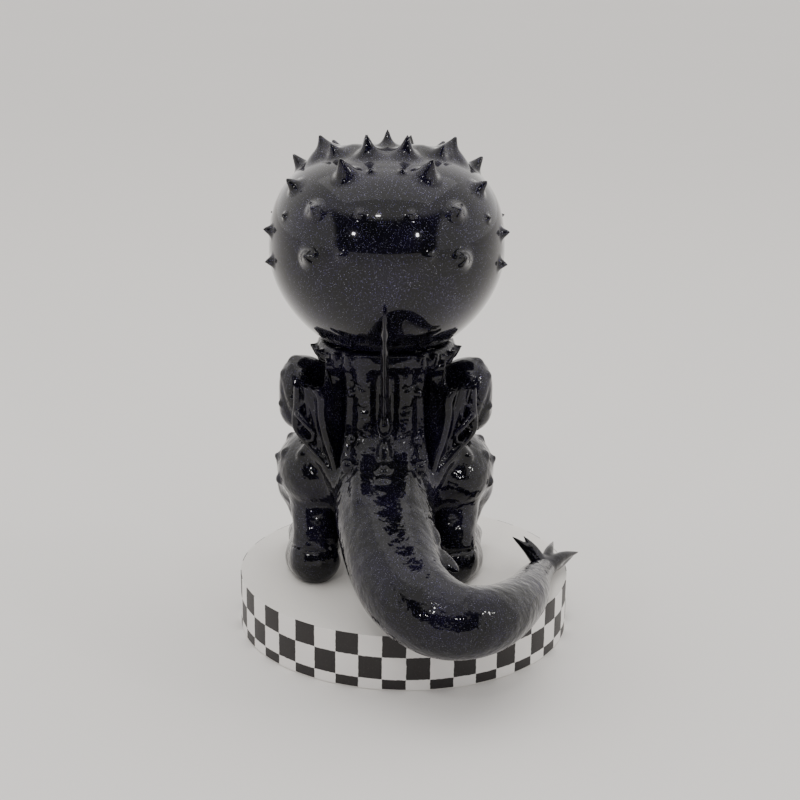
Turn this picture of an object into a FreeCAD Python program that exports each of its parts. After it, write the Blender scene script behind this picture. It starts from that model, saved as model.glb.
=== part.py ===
import FreeCAD, Part
import math
import os

# Horned creature figurine with a turning head and turning arms, screwed to a round display base.
# Millimetres. Origin at the centre of the base's underside, +Z up, the creature faces -Y.

# ---- driving dimensions -------------------------------------------------------------------
PLINTH_RADIUS = 45.0
PLINTH_HEIGHT = 15.0
TAPE_THICKNESS = 0.2
TAPE_LIFT = 0.3             # the tape stops this far above the underside
CENTRE_X = 5.4              # the figure stands off centre, to leave room for its tail
WALL = 2.2                  # thickness of the cast shells

HEAD_RADIUS = 30.7
HEAD_RISE = 26.5            # height of the crown over the head's widest level
HEAD_CENTRE_Z = 103.9       # height of that widest level
HEAD_JAW_ARC = 25.5         # the head's outline is four tangent arcs: jaw, side, corner and crown
HEAD_SIDE_ARC = 45.0
HEAD_CORNER_ARC = 18.0
HEAD_CROWN_ARC = 50.0
HEAD_BASE_Z = 81.0
HEAD_FLOOR_Z = 83.0
NECK_TOP_Z = 80.6
NECK_HOLE_RADIUS = 9.0
PLATE_RADIUS = 13.2
PLATE_TOP_Z = 86.0
PEG_RADIUS = 5.0
RUNNING_CLEARANCE = 0.05
PEG_SHOULDER_RADIUS = 8.0
PEG_SHOULDER_TOP_Z = 82.9
PEG_TOP_Z = 89.0
PEG_FLANGE_Z = 76.0
WASHER_GAP = 0.1
WASHER_THICKNESS = 2.0

SHOULDER_Y = -1.5
SHOULDER_Z = 67.0
SHOULDER_FACE = 14.0        # sideways distance from the figure's centre to the shoulder faces
SHOULDER_GAP = 0.3
SHOULDER_PEG_RADIUS = 2.5
SHOULDER_BOSS_RADIUS = 6.0
CLIP_RADIUS = 4.4
CLIP_THICKNESS = 1.5
CLIP_ROOM = 0.4             # gap round the clip in its pocket
PEG_HEAD_HEIGHT = 1.5
PEG_HEAD_RADIUS = 3.5

HIP_FACE = 13.0
HIP_Y = 0.0
HIP_Z = 44.0
HIP_BOSS_RADIUS = 8.5
HIP_PLUG_RADIUS = 4.0
HIP_FLANGE_RADIUS = 6.0
LEG_X = 19.0                # sideways distance from the figure's centre to a leg's middle

TAIL_WALL = 2.0
FIN_THICKNESS = 1.8
WING_THICKNESS = 1.8
EYE_RADIUS = 6.4
SCREW_RADIUS = 1.6
SCREW_HEAD_RADIUS = 3.2
SCREW_LENGTH = 22.0
FOOT_BLOCK_RADIUS = 4.2
FOOT_BLOCK_HEIGHT = 7.4

SIDES = {"left": 1.0, "right": -1.0}    # the +X side is the one that carries the name left
UP = FreeCAD.Vector(0, 0, 1)
ALONG_X = FreeCAD.Vector(1, 0, 0)


def vec(sideways, y, z):
    """A point given from the figure's own centre line."""
    return FreeCAD.Vector(CENTRE_X + sideways, y, z)


def rod(start, end, radius):
    """Round bar between two points."""
    return Part.makeCylinder(radius, (end - start).Length, start, end - start)


def taper(start, end, start_radius, end_radius):
    """Round bar whose radius changes along its length."""
    length = (end - start).Length
    return Part.makeCone(start_radius, end_radius, length, start, end - start)


def limb(points, radii):
    """Row of balls joined by tapers, as one solid."""
    pieces = []
    for point, radius in zip(points, radii):
        pieces.append(Part.makeSphere(radius, point))
    for index in range(len(points) - 1):
        start, end = points[index], points[index + 1]
        pieces.append(taper(start, end, radii[index], radii[index + 1]))
    return pieces[0].fuse(pieces[1:]).removeSplitter()


def spheroid(centre, half_width, radius):
    """Ellipse turned about a sideways axis, wider than it is thick."""
    curve = Part.Ellipse(FreeCAD.Vector(0, 0, 0), half_width, radius)
    arc = curve.toShape(0.0, math.pi)
    closing = Part.makeLine(arc.valueAt(arc.LastParameter), arc.valueAt(arc.FirstParameter))
    solid = Part.Face(Part.Wire([arc, closing])).revolve(FreeCAD.Vector(0, 0, 0), ALONG_X, 360)
    solid.translate(centre)
    return solid


def half_space(side, sideways, reach=60.0):
    """Block that holds everything further out than a sideways distance on one side."""
    start = CENTRE_X + sideways if side > 0 else CENTRE_X - sideways - reach
    corner = FreeCAD.Vector(start, -reach, -reach)
    return Part.makeBox(reach, 2 * reach, 4 * reach, corner)


def above(height, reach=80.0):
    """Block that holds everything above a height."""
    return Part.makeBox(2 * reach, 2 * reach, 2 * reach, FreeCAD.Vector(-reach, -reach, height))


# ---- display base -------------------------------------------------------------------------
def screw_places():
    """Foot of each leg, where a screw comes up through the base."""
    return [vec(side * LEG_X, 3.0, 0) for side in SIDES.values()]


def plinth_disc():
    """Painted wooden disc with two countersunk holes from below."""
    body = Part.makeCylinder(PLINTH_RADIUS - TAPE_THICKNESS, PLINTH_HEIGHT)
    for place in screw_places():
        body = body.cut(Part.makeCylinder(SCREW_RADIUS, PLINTH_HEIGHT, place))
        body = body.cut(Part.makeCylinder(SCREW_HEAD_RADIUS, 3.0, place))
    return body


def checker_tape():
    """Printed band wound once round the disc."""
    low = UP * TAPE_LIFT
    outer = Part.makeCylinder(PLINTH_RADIUS, PLINTH_HEIGHT - TAPE_LIFT, low)
    return outer.cut(Part.makeCylinder(PLINTH_RADIUS - TAPE_THICKNESS, PLINTH_HEIGHT - TAPE_LIFT, low))


def base_screws():
    """Two pan head screws that hold the feet, seated in the counterbores."""
    screws = []
    for place in screw_places():
        head_low = place + UP * 0.8
        head = Part.makeCylinder(SCREW_HEAD_RADIUS - 0.2, 2.2, head_low)
        shank = Part.makeCylinder(SCREW_RADIUS, SCREW_LENGTH - 2.2, place + UP * 3.0)
        slot = Part.makeBox(4.6, 0.8, 0.8, head_low + FreeCAD.Vector(-2.3, -0.4, 0))
        screws.append(head.fuse(shank).cut(slot))
    return Part.makeCompound(screws)


# ---- legs ---------------------------------------------------------------------------------
def leg_outline(side, inset):
    """Thigh, shin and foot; inset makes the hollow inside the cast wall."""
    thigh = limb([vec(side * 18.8, -6.0, 43.0), vec(side * 18.6, 4.0, 43.4)], [9.6 - inset, 10.2 - inset])
    shin = limb(
        [vec(side * 18.6, 4.5, 37.0), vec(side * 18.4, 8.4, 27.0), vec(side * 18.6, 8.8, 20.8)],
        [7.6 - inset, 6.0 - inset, 6.6 - inset])
    foot = limb([vec(side * 18.6, 8.8, 20.8), vec(side * 19.4, -11.5, 19.2)], [6.6 - inset, 7.4 - inset])
    return thigh.fuse(shin).fuse(foot)


def claw_set(side):
    """Three blunt claws at the front of a foot."""
    claws = []
    for spread in (-4.6, 0.0, 4.6):
        root = vec(side * 19.4 + spread, -15.6, 18.8)
        claws.append(Part.makeSphere(3.4, root))
        claws.append(taper(root, root + FreeCAD.Vector(spread * 0.3, -8.4, -2.4), 2.9, 0.3))
    return claws


def leg_shell(side):
    """Hollow leg with claws and knee spike, flat under the foot and at the hip."""
    outer = leg_outline(side, 0.0).fuse(claw_set(side))
    knee_root = vec(side * 26.5, -2.0, 45.6)
    knee = taper(knee_root, knee_root + FreeCAD.Vector(side * 4.0, 0, 0.6), 2.2, 0.25)
    outer = outer.fuse(knee).common(above(PLINTH_HEIGHT)).common(half_space(side, HIP_FACE))
    hollow = leg_outline(side, WALL).common(above(PLINTH_HEIGHT + WALL))
    hollow = hollow.common(half_space(side, HIP_FACE + WALL))
    plug_hole = rod(vec(side * HIP_FACE, HIP_Y, HIP_Z), vec(side * (HIP_FACE + WALL), HIP_Y, HIP_Z),
                    HIP_PLUG_RADIUS)
    place = vec(side * LEG_X, 3.0, PLINTH_HEIGHT)
    screw_hole = Part.makeCylinder(SCREW_RADIUS, WALL, place)
    shell = outer.cut(hollow).cut([plug_hole, screw_hole, foot_block_outline(side)])
    return max(shell.Solids, key=lambda solid: solid.Volume)


def foot_block_outline(side):
    """Round block inside the foot, before it is bored."""
    place = vec(side * LEG_X, 3.0, PLINTH_HEIGHT + WALL)
    return Part.makeCylinder(FOOT_BLOCK_RADIUS, FOOT_BLOCK_HEIGHT, place)


def foot_block(side):
    """Block bonded inside the foot, which the base screw bites into."""
    place = vec(side * LEG_X, 3.0, PLINTH_HEIGHT + WALL)
    depth = SCREW_LENGTH + 0.8 - PLINTH_HEIGHT - WALL
    return foot_block_outline(side).cut(Part.makeCylinder(SCREW_RADIUS, depth, place))


def hip_plug(side):
    """Stepped plug glued through the hip walls of torso and leg."""
    inner = vec(side * (HIP_FACE - WALL - 2.0), HIP_Y, HIP_Z)
    face = vec(side * (HIP_FACE - WALL), HIP_Y, HIP_Z)
    outer = vec(side * (HIP_FACE + WALL + 3.0), HIP_Y, HIP_Z)
    return rod(inner, face, HIP_FLANGE_RADIUS).fuse(rod(face, outer, HIP_PLUG_RADIUS))


# ---- torso --------------------------------------------------------------------------------
TORSO_PROFILE = [           # height and radius
    (32.0, 7.0), (37.0, 12.0), (45.0, 15.4), (54.0, 15.2), (62.0, 14.0), (67.0, 13.6), (72.0, 13.8),
    (77.0, 15.4), (NECK_TOP_Z, 17.3)]

TAIL_STATIONS = [           # sideways, y, z and radius, from the root inside the body to the tip
    (0.0, 4.0, 46.0, 13.6),
    (-0.1, 18.0, 41.0, 13.2),
    (-1.4, 31.0, 35.6, 12.4),
    (-4.6, 44.0, 30.2, 11.5),
    (-10.1, 53.0, 27.0, 10.6),
    (-17.8, 56.3, 24.8, 9.5),
    (-27.2, 51.4, 23.5, 8.2),
    (-35.6, 36.0, 21.7, 6.4),
    (-40.2, 19.0, 20.0, 4.5),
    (-43.6, 9.7, 18.9, 3.2)]


def torso_outline(inset):
    """Pear-shaped trunk, turned about the figure's centre line."""
    curve = Part.BSplineCurve()
    curve.interpolate([vec(radius - inset, 0, height) for height, radius in TORSO_PROFILE])
    low = vec(0, 0, TORSO_PROFILE[0][0])
    top = vec(0, 0, NECK_TOP_Z)
    outline = [curve.toShape(), Part.makeLine(curve.EndPoint, top), Part.makeLine(top, low),
               Part.makeLine(low, curve.StartPoint)]
    return Part.Face(Part.Wire(outline)).revolve(low, UP, 360)


def tail_direction(index):
    """Unit vector along the tail at a station."""
    before = vec(*TAIL_STATIONS[max(index - 1, 0)][:3])
    after = vec(*TAIL_STATIONS[min(index + 1, len(TAIL_STATIONS) - 1)][:3])
    return (after - before).normalize()


def tail_loft(first, last, inset):
    """Round tapering loft between two stations."""
    wires = []
    for index in range(first, last + 1):
        sideways, y, z, radius = TAIL_STATIONS[index]
        circle = Part.makeCircle(radius - inset, vec(sideways, y, z), tail_direction(index))
        wires.append(Part.Wire([circle]))
    return Part.makeLoft(wires, True, False)


def cross_rod(reach, y, z, radius):
    """Round bar straight across the figure, as far out on one side as on the other."""
    return rod(vec(-reach, y, z), vec(reach, y, z), radius)


def torso_shell():
    """Hollow trunk with a tail stub, hip and shoulder bosses, and the neck hole."""
    outer = torso_outline(0.0).fuse(tail_loft(0, 1, 0.0))
    shoulder_boss = cross_rod(SHOULDER_FACE, SHOULDER_Y, SHOULDER_Z, SHOULDER_BOSS_RADIUS)
    hip_boss = cross_rod(HIP_FACE, HIP_Y, HIP_Z, HIP_BOSS_RADIUS)
    trunk = outer.fuse(shoulder_boss).fuse(hip_boss)
    for side in SIDES.values():
        trunk = trunk.cut(half_space(side, HIP_FACE).common(above(30.0)).cut(above(56.0)))
    trunk_hollow = torso_outline(WALL).cut(above(NECK_TOP_Z - WALL))
    trunk_hollow = trunk_hollow.common(above(TORSO_PROFILE[0][0] + WALL))
    for side in SIDES.values():
        trunk_hollow = trunk_hollow.cut(half_space(side, HIP_FACE - WALL))
    trunk = trunk.cut(trunk_hollow).cut(tail_loft(0, 1, TAIL_WALL))
    bore_radius = SHOULDER_PEG_RADIUS + RUNNING_CLEARANCE
    trunk = trunk.cut(cross_rod(SHOULDER_FACE + 1.0, SHOULDER_Y, SHOULDER_Z, bore_radius))
    trunk = trunk.cut(cross_rod(SHOULDER_FACE - WALL, SHOULDER_Y, SHOULDER_Z, CLIP_RADIUS + CLIP_ROOM))
    trunk = trunk.cut(cross_rod(HIP_FACE + 1.0, HIP_Y, HIP_Z, HIP_PLUG_RADIUS))
    trunk = trunk.cut(cross_rod(HIP_FACE - WALL, HIP_Y, HIP_Z, HIP_FLANGE_RADIUS))
    return trunk.cut(Part.makeCylinder(PEG_RADIUS, 10.0, vec(0, 0, NECK_TOP_Z - 5.0)))


def neck_peg():
    """Turned peg that the head swivels on: inner flange, shank and shoulder."""
    flange = Part.makeCylinder(PEG_SHOULDER_RADIUS, NECK_TOP_Z - WALL - PEG_FLANGE_Z, vec(0, 0, PEG_FLANGE_Z))
    shank = Part.makeCylinder(PEG_RADIUS, PEG_TOP_Z - PEG_FLANGE_Z, vec(0, 0, PEG_FLANGE_Z))
    shoulder_height = PEG_SHOULDER_TOP_Z - NECK_TOP_Z
    shoulder = Part.makeCylinder(PEG_SHOULDER_RADIUS, shoulder_height, vec(0, 0, NECK_TOP_Z))
    return flange.fuse([shank, shoulder]).removeSplitter()


def neck_retainer():
    """Push-on washer that keeps the head on its peg."""
    low = vec(0, 0, PLATE_TOP_Z + WASHER_GAP)
    ring = Part.makeCylinder(PEG_SHOULDER_RADIUS, WASHER_THICKNESS, low)
    return ring.cut(Part.makeCylinder(PEG_RADIUS, WASHER_THICKNESS, low))


def dorsal_fin():
    """Upright blade behind the neck, whose tip stands clear behind the head."""
    points = [(14.0, 80.0), (19.2, 80.6), (23.6, 84.2), (27.2, 89.0), (29.8, 94.4), (31.0, 95.8),
              (31.0, 92.0), (28.6, 84.6), (25.0, 77.0), (21.6, 70.0), (19.0, 62.0), (14.0, 58.0)]
    corners = [vec(-FIN_THICKNESS / 2, y, z) for y, z in points]
    blade = Part.Face(Part.makePolygon(corners + corners[:1])).extrude(ALONG_X * FIN_THICKNESS)
    return blade.cut(torso_outline(0.0))


def wing(side):
    """Small folded wing: a thin leaning plate glued along its root to the back."""
    outline = [(12.0, 66.0), (21.6, 77.4), (24.0, 71.0), (23.0, 65.3), (20.6, 61.6), (22.6, 57.9),
               (17.6, 52.5), (12.4, 46.8), (12.0, 52.0)]
    corners = [vec(side * sideways, 12.2, z) for sideways, z in outline]
    plate = Part.Face(Part.makePolygon(corners + corners[:1]))
    plate = plate.extrude(FreeCAD.Vector(0, WING_THICKNESS, 0))
    return plate.cut(torso_outline(0.0)).cut(tail_loft(0, 1, 0.0))


# ---- tail ---------------------------------------------------------------------------------
def tail_shell():
    """Hollow curled tail, open at its root and closed at its tip."""
    last = len(TAIL_STATIONS) - 1
    shell = tail_loft(1, last, 0.0).cut(tail_loft(1, last - 2, TAIL_WALL)).cut(tail_tip_spikes())
    return max(shell.Solids, key=lambda solid: solid.Volume)


def tail_plug():
    """Short tube glued inside the joint between torso and tail."""
    centre = vec(*TAIL_STATIONS[1][:3])
    direction = tail_direction(1)
    reach = 4.0
    start = centre - direction * reach
    end = centre + direction * reach
    return rod(start, end, 10.4).cut(rod(start, end, 8.4))


def tail_tip_spikes():
    """Fan of pointed spines set into the end of the tail."""
    sideways, y, z, radius = TAIL_STATIONS[-1]
    root = vec(sideways, y, z)
    inner = root - tail_direction(len(TAIL_STATIONS) - 1) * 3.0
    tips = [(-35.1, 1.0, 24.6), (-38.2, 1.6, 25.0), (-54.0, -3.0, 18.6), (-53.4, -5.2, 17.4),
            (-47.0, -4.6, 21.0)]
    spines = []
    for tip in tips:
        direction = (vec(*tip) - root).normalize()
        spines.append(taper(root + direction, vec(*tip), radius * 0.6, 0.25))
    return spines[0].fuse(spines[1:] + [rod(inner, root + tail_direction(9) * 1.6, radius * 0.5)])


# ---- head ---------------------------------------------------------------------------------
def corner_arc_centre():
    """Sideways and upward place of the corner arc that is tangent to the side and crown arcs."""
    side_x = HEAD_RADIUS - HEAD_SIDE_ARC
    crown_z = HEAD_RISE - HEAD_CROWN_ARC
    side_reach = HEAD_SIDE_ARC - HEAD_CORNER_ARC
    crown_reach = HEAD_CROWN_ARC - HEAD_CORNER_ARC
    span = math.hypot(side_x, crown_z)
    along = (side_reach ** 2 - crown_reach ** 2 + span ** 2) / (2 * span)
    across = math.sqrt(side_reach ** 2 - along ** 2)
    unit_x, unit_z = -side_x / span, crown_z / span
    return side_x + unit_x * along - unit_z * across, unit_z * along + unit_x * across


def head_outline(inset, low):
    """Squashed ball turned about the neck axis, cut level at its underside."""
    corner_x, corner_z = corner_arc_centre()
    side_x = HEAD_RADIUS - HEAD_SIDE_ARC
    crown_z = HEAD_RISE - HEAD_CROWN_ARC
    side_turn = math.atan2(corner_z, corner_x - side_x)
    crown_turn = math.atan2(corner_z - crown_z, corner_x)

    def on_arc(centre_x, centre_z, radius, angle):
        height = HEAD_CENTRE_Z + centre_z + (radius - inset) * math.sin(angle)
        return vec(centre_x + (radius - inset) * math.cos(angle), 0, height)

    jaw_x = HEAD_RADIUS - HEAD_JAW_ARC
    arcs = [(jaw_x, 0.0, HEAD_JAW_ARC, -math.pi / 2, 0.0), (side_x, 0.0, HEAD_SIDE_ARC, 0.0, side_turn),
            (corner_x, corner_z, HEAD_CORNER_ARC, side_turn, crown_turn),
            (0.0, crown_z, HEAD_CROWN_ARC, crown_turn, math.pi / 2)]
    edges = []
    for centre_x, centre_z, radius, first, last in arcs:
        points = [on_arc(centre_x, centre_z, radius, angle) for angle in (first, (first + last) / 2, last)]
        edges.append(Part.Arc(*points).toShape())
    chin = on_arc(jaw_x, 0.0, HEAD_JAW_ARC, -math.pi / 2)
    bottom = vec(0, 0, chin.z)
    edges.append(Part.makeLine(vec(0, 0, HEAD_CENTRE_Z + HEAD_RISE - inset), bottom))
    edges.append(Part.makeLine(bottom, chin))
    outline = Part.Wire(Part.__sortEdges__(edges))
    return Part.Face(outline).revolve(bottom, UP, 360).common(above(low))


# azimuth from straight back towards the left, height angle, root radius, length past the surface
HEAD_SPIKES = [
    (0.0, 70.0, 2.8, 6.8), (24.0, 63.0, 2.4, 4.0), (62.0, 52.0, 3.2, 6.2), (31.0, 48.0, 2.8, 4.4),
    (100.0, 41.0, 2.6, 4.4), (88.0, 37.0, 2.2, 3.2), (37.0, 29.3, 2.7, 3.6), (37.0, 7.5, 2.8, 3.6),
    (74.0, 13.5, 2.2, 1.9), (68.0, -0.4, 2.2, 1.6), (108.0, 12.0, 2.2, 1.9), (140.0, 46.0, 2.6, 4.2),
    (180.0, 58.0, 2.8, 4.6), (158.0, 34.0, 2.2, 3.0)]


def head_spikes():
    """Cones standing square to a ball about the head's centre, mirrored left and right."""
    centre = vec(0, 0, HEAD_CENTRE_Z)
    cones = []
    for azimuth, rise, radius, length in HEAD_SPIKES:
        sides = (1.0,) if azimuth in (0.0, 180.0) else (1.0, -1.0)
        for side in sides:
            level = math.cos(math.radians(rise))
            direction = FreeCAD.Vector(side * level * math.sin(math.radians(azimuth)),
                                       level * math.cos(math.radians(azimuth)),
                                       math.sin(math.radians(rise)))
            reach = surface_reach(rise)
            cones.append(taper(centre + direction * (reach - 1.6), centre + direction * (reach + length),
                               radius, 0.25))
    return cones


def surface_reach(rise):
    """Distance from the head's centre to its surface at a height angle, about that of an ellipse."""
    level = math.cos(math.radians(rise)) / HEAD_RADIUS
    height = math.sin(math.radians(rise)) / HEAD_RISE
    return 1 / math.hypot(level, height) + 1.8 * math.sin(math.radians(2 * abs(rise)))


def eye(side):
    """Glossy ball bonded into the face, its poles turned out to the front."""
    centre = vec(side * 13.0, -25.4, 107.0)
    return Part.makeSphere(EYE_RADIUS, centre, FreeCAD.Vector(side * 0.45, -0.89, 0.05))


def head_shell():
    """Hollow head with its spikes and muzzle, eye sockets, and the seat for its bearing plate."""
    muzzle = spheroid(vec(0, -28.6, 101.4), 9.0, 5.2)
    outer = head_outline(0.0, HEAD_BASE_Z).fuse(head_spikes() + [muzzle])
    inner = head_outline(WALL, HEAD_FLOOR_Z)
    seat = Part.makeCylinder(PLATE_RADIUS, PLATE_TOP_Z - HEAD_FLOOR_Z + 1.0, vec(0, 0, HEAD_FLOOR_Z))
    hole = Part.makeCylinder(NECK_HOLE_RADIUS, 5.0, vec(0, 0, HEAD_BASE_Z - 1.0))
    sockets = [eye(side) for side in SIDES.values()]
    return outer.cut(inner.fuse(seat)).cut([hole] + sockets)


def head_bearing_plate():
    """Disc bonded into the head that turns on the neck peg."""
    height = PLATE_TOP_Z - HEAD_FLOOR_Z
    low = vec(0, 0, HEAD_FLOOR_Z)
    disc = Part.makeCylinder(PLATE_RADIUS, height, low)
    return disc.cut(Part.makeCylinder(PEG_RADIUS + RUNNING_CLEARANCE, height, low))


# ---- arms ---------------------------------------------------------------------------------
def arm_outline(side, inset):
    """Upper arm, elbow, forearm and paw."""
    points = [vec(side * 21.2, SHOULDER_Y, 67.6), vec(side * 22.4, -1.0, 60.6),
              vec(side * 21.2, -13.0, 57.0), vec(side * 20.4, -19.5, 57.6)]
    radii = [7.0 - inset, 5.8 - inset, 4.3 - inset, 4.6 - inset]
    return limb(points, radii)


def paw_claws(side):
    """Three small claws at the end of a paw."""
    root = vec(side * 20.4, -19.5, 57.6)
    claws = []
    for spread in (-0.5, 0.0, 0.5):
        direction = FreeCAD.Vector(spread, -1.0, -0.35).normalize()
        claws.append(taper(root + direction * 2.6, root + direction * 7.4, 1.7, 0.25))
    return claws


def arm_shell(side):
    """Hollow arm with a flat face at the shoulder, bored for its peg."""
    face = SHOULDER_FACE + SHOULDER_GAP
    joint_disc = rod(vec(side * face, SHOULDER_Y, SHOULDER_Z), vec(side * (face + 4.0), SHOULDER_Y, SHOULDER_Z),
                     SHOULDER_BOSS_RADIUS)
    outer = arm_outline(side, 0.0).fuse([joint_disc] + paw_claws(side)).common(half_space(side, face))
    hollow = arm_outline(side, WALL).common(half_space(side, face + WALL))
    bore = rod(vec(side * face, SHOULDER_Y, SHOULDER_Z), vec(side * (face + WALL), SHOULDER_Y, SHOULDER_Z),
               SHOULDER_PEG_RADIUS)
    return outer.cut([hollow, bore, arm_peg_head(side)])


def arm_peg_head(side):
    """Disc at the peg's outer end, let into the arm behind its flat face."""
    wall = vec(side * (SHOULDER_FACE + SHOULDER_GAP + WALL), SHOULDER_Y, SHOULDER_Z)
    return rod(wall, wall + ALONG_X * side * PEG_HEAD_HEIGHT, PEG_HEAD_RADIUS)


def arm_peg(side):
    """Headed peg bonded to the arm that turns in the shoulder bore."""
    face = SHOULDER_FACE + SHOULDER_GAP
    inner = vec(side * (SHOULDER_FACE - WALL - CLIP_THICKNESS - 0.8), SHOULDER_Y, SHOULDER_Z)
    wall = vec(side * (face + WALL), SHOULDER_Y, SHOULDER_Z)
    return rod(inner, wall, SHOULDER_PEG_RADIUS).fuse(arm_peg_head(side))


def arm_clip(side):
    """Push-on clip inside the torso that keeps the arm's peg in its bore."""
    near = vec(side * (SHOULDER_FACE - WALL - 0.1), SHOULDER_Y, SHOULDER_Z)
    far = vec(side * (SHOULDER_FACE - WALL - 0.1 - CLIP_THICKNESS), SHOULDER_Y, SHOULDER_Z)
    return rod(far, near, CLIP_RADIUS).cut(rod(far, near, SHOULDER_PEG_RADIUS))


# ---- write every piece --------------------------------------------------------------------
pieces = {
    "plinth_disc": plinth_disc(),
    "checker_tape": checker_tape(),
    "base_screws": base_screws(),
    "torso_shell": torso_shell(),
    "neck_peg": neck_peg(),
    "neck_retainer": neck_retainer(),
    "dorsal_fin": dorsal_fin(),
    "tail_shell": tail_shell(),
    "tail_plug": tail_plug(),
    "tail_tip_spikes": tail_tip_spikes(),
    "head_shell": head_shell(),
    "head_bearing_plate": head_bearing_plate()}
for name, side in SIDES.items():
    pieces["leg_" + name] = leg_shell(side)
    pieces["foot_block_" + name] = foot_block(side)
    pieces["hip_plug_" + name] = hip_plug(side)
    pieces["wing_" + name] = wing(side)
    pieces["arm_" + name] = arm_shell(side)
    pieces["arm_peg_" + name] = arm_peg(side)
    pieces["arm_clip_" + name] = arm_clip(side)
    pieces["eye_" + name] = eye(side)

os.makedirs("parts", exist_ok=True)
for node, shape in pieces.items():
    shape.exportStep("parts/" + node + ".step")
    solids = len(shape.Solids)
    print(node, "solids", solids, "valid", shape.isValid(), "volume", round(shape.Volume, 1))
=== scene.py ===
import math
import bmesh
import bpy
import numpy as np
from mathutils import Matrix, Vector


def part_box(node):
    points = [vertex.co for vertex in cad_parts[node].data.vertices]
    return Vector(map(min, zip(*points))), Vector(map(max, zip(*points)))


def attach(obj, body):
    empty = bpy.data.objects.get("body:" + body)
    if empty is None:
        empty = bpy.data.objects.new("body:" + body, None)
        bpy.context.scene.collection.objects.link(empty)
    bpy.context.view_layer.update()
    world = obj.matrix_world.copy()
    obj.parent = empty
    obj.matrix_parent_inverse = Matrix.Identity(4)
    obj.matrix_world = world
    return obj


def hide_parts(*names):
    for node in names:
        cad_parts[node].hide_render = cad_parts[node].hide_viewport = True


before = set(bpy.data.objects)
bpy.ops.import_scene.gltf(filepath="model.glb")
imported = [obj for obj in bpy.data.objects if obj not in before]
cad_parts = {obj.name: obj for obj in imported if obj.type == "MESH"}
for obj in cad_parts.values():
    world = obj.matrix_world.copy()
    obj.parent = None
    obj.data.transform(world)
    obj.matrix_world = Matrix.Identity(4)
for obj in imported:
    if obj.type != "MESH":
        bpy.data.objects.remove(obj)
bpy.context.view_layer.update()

# ---- black gloss lacquer -------------------------------------------------------------------
# The whole creature is black vinyl under a thick clear coat with fine glitter stirred into it.
# The coat levels itself, so it is smooth, with faint orange peel and a few dull finger marks.


class Flow:
    """A shader socket that Python expressions can be written on."""

    def __init__(self, tree, socket):
        self.tree = tree
        self.socket = socket

    def math(self, operation, *values):
        return node(self.tree, "ShaderNodeMath", {"operation": operation}, dict(enumerate(values)))

    def __add__(self, other):
        return self.math("ADD", self, other)

    def __sub__(self, other):
        return self.math("SUBTRACT", self, other)

    def __rsub__(self, other):
        return self.math("SUBTRACT", other, self)

    def __mul__(self, other):
        return self.math("MULTIPLY", self, other)

    def __truediv__(self, other):
        return self.math("DIVIDE", self, other)

    def __gt__(self, other):
        return self.math("GREATER_THAN", self, other)

    __radd__ = __add__
    __rmul__ = __mul__

    def fract(self):
        return self.math("FRACT", self)

    def floor(self):
        return self.math("FLOOR", self)

    def absolute(self):
        return self.math("ABSOLUTE", self)

    def root(self):
        return self.math("SQRT", self)

    def step(self, low, high):
        """0 below low, 1 above high, smooth between."""
        settings = {"interpolation_type": "SMOOTHSTEP"}
        return node(self.tree, "ShaderNodeMapRange", settings, {0: self, 1: low, 2: high})


def node(tree, kind, settings=None, values=None, output=0):
    """Adds a node: its settings first, then its sockets' values or links."""
    made = tree.nodes.new(kind)
    for name, value in (settings or {}).items():
        setattr(made, name, value)
    for name, value in (values or {}).items():
        socket = made.inputs[name]
        if isinstance(value, Flow):
            tree.links.new(value.socket, socket)
        else:
            socket.default_value = value
    return Flow(tree, made.outputs[output])


def new_material(name, **constants):
    """A material with one Principled shader. Returns the material, its tree and that shader."""
    material = bpy.data.materials.new(name)
    material.use_nodes = True
    shader = material.node_tree.nodes["Principled BSDF"]
    for socket, value in constants.items():
        shader.inputs[socket.replace("_", " ")].default_value = value
    return material, material.node_tree, shader


def join(tree, shader, **links):
    """Links flows to the shader's varying sockets."""
    for socket, flow in links.items():
        tree.links.new(flow.socket, shader.inputs[socket.replace("_", " ")])


MIX_FACTOR, MIX_FIRST, MIX_SECOND, MIX_RESULT = 0, 6, 7, 2   # the Mix node's sockets for colours


def blend_colours(tree, factor, first, second):
    """Colour that goes from first to second as factor goes from 0 to 1."""
    values = {MIX_FACTOR: factor, MIX_FIRST: first, MIX_SECOND: second}
    return node(tree, "ShaderNodeMix", {"data_type": "RGBA"}, values, MIX_RESULT)


def split(tree, flow, kind="ShaderNodeSeparateXYZ"):
    """The three parts of a vector, or of a colour, as flows."""
    parts = tree.nodes.new(kind)
    tree.links.new(flow.socket, parts.inputs[0])
    return [Flow(tree, parts.outputs[index]) for index in range(3)]


def place(tree):
    """The piece's own coordinates, in metres."""
    return node(tree, "ShaderNodeTexCoord", output="Object")


def noise(tree, where, scale, detail=2.0, roughness=0.5):
    values = {"Vector": where, "Scale": scale, "Detail": detail, "Roughness": roughness}
    return node(tree, "ShaderNodeTexNoise", None, values)


FLAKE = 6200.0              # glitter cells per metre, so one flake is about a sixth of a millimetre
FEWEST_FLAKES = 0.80        # share of the cells left plain where the glitter is thinnest
FLAKE_DRIFT = 0.14          # how much smaller that share is where the glitter has gathered
LAYER = 0.00042             # pitch of the fine level lines left from the pattern, in metres
COAT_IOR = 1.38             # both the clear coat and the bare gloss bend light this much
RELIEF = 0.00006            # height of the orange peel, in metres


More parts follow.
